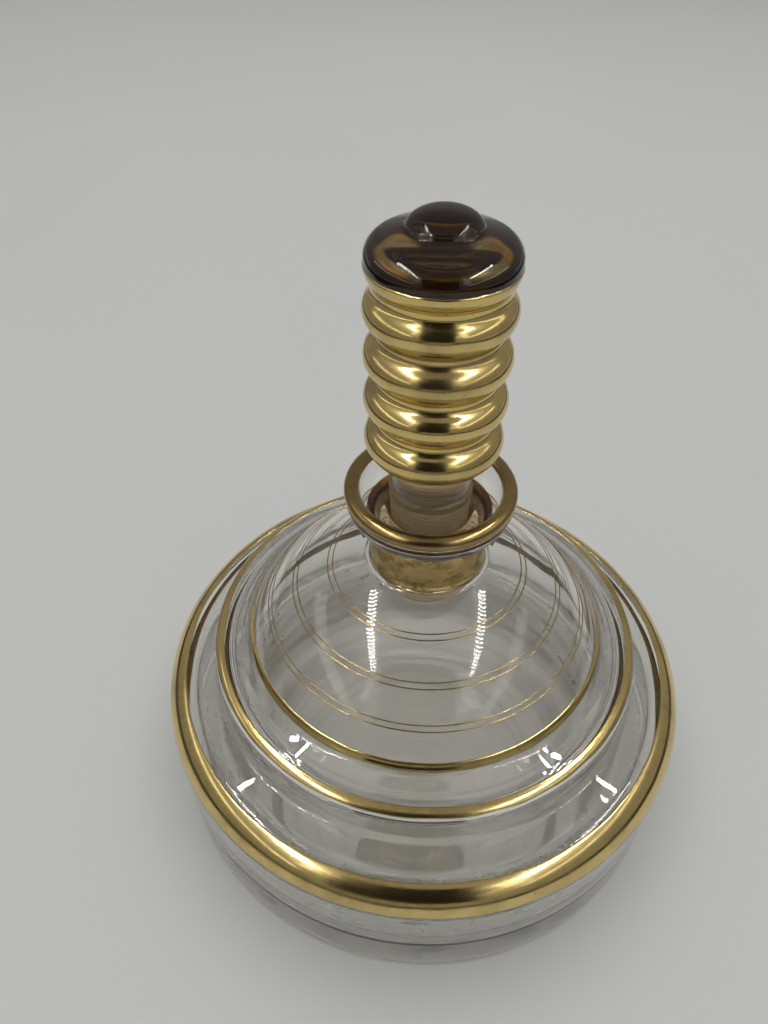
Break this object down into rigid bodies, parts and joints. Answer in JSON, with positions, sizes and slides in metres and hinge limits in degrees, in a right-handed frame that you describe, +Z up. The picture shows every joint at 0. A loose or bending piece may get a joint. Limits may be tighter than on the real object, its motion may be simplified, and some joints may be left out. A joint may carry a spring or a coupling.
{
  "type": "scent bottle",
  "caption": "Clear glass scent bottle with a stepped round base, domed shoulder, flared cup rim, gilt bands and a tall lift-out ground-glass stopper.",
  "frame": {"origin": "centre of the foot, on the surface the bottle stands on", "axes": "+Z up along the bottle's axis; the bottle is round, so X and Y are free, and +X is taken as the user's right"},
  "size_m": [0.1058, 0.1058, 0.12],
  "materials": {
    "bottle_glass": "clear, fire polished",
    "stopper_glass": "clear, with a ground plug",
    "gilding": "fired bright gold, worn in places"
  },
  "bodies": {
    "bottle": {"bottle_body": "bottle_glass", "base_shoulder_gilding": "gilding", "middle_shoulder_gilding": "gilding", "dome_foot_line": "gilding", "lower_pair_outer_line": "gilding", "lower_pair_inner_line": "gilding", "middle_pair_outer_line": "gilding", "middle_pair_inner_line": "gilding", "upper_pair_outer_line": "gilding", "upper_pair_inner_line": "gilding", "neck_gilding": "gilding", "rim_gilding": "gilding"},
    "stopper": {"stopper": "stopper_glass", "stopper_gilding": "gilding"}
  },
  "joints": [
    {"name": "stopper_lift", "type": "slide", "parent": "bottle", "child": "stopper", "axis": [0, 0, 1], "range_m": [0, 0.045]}
  ]
}
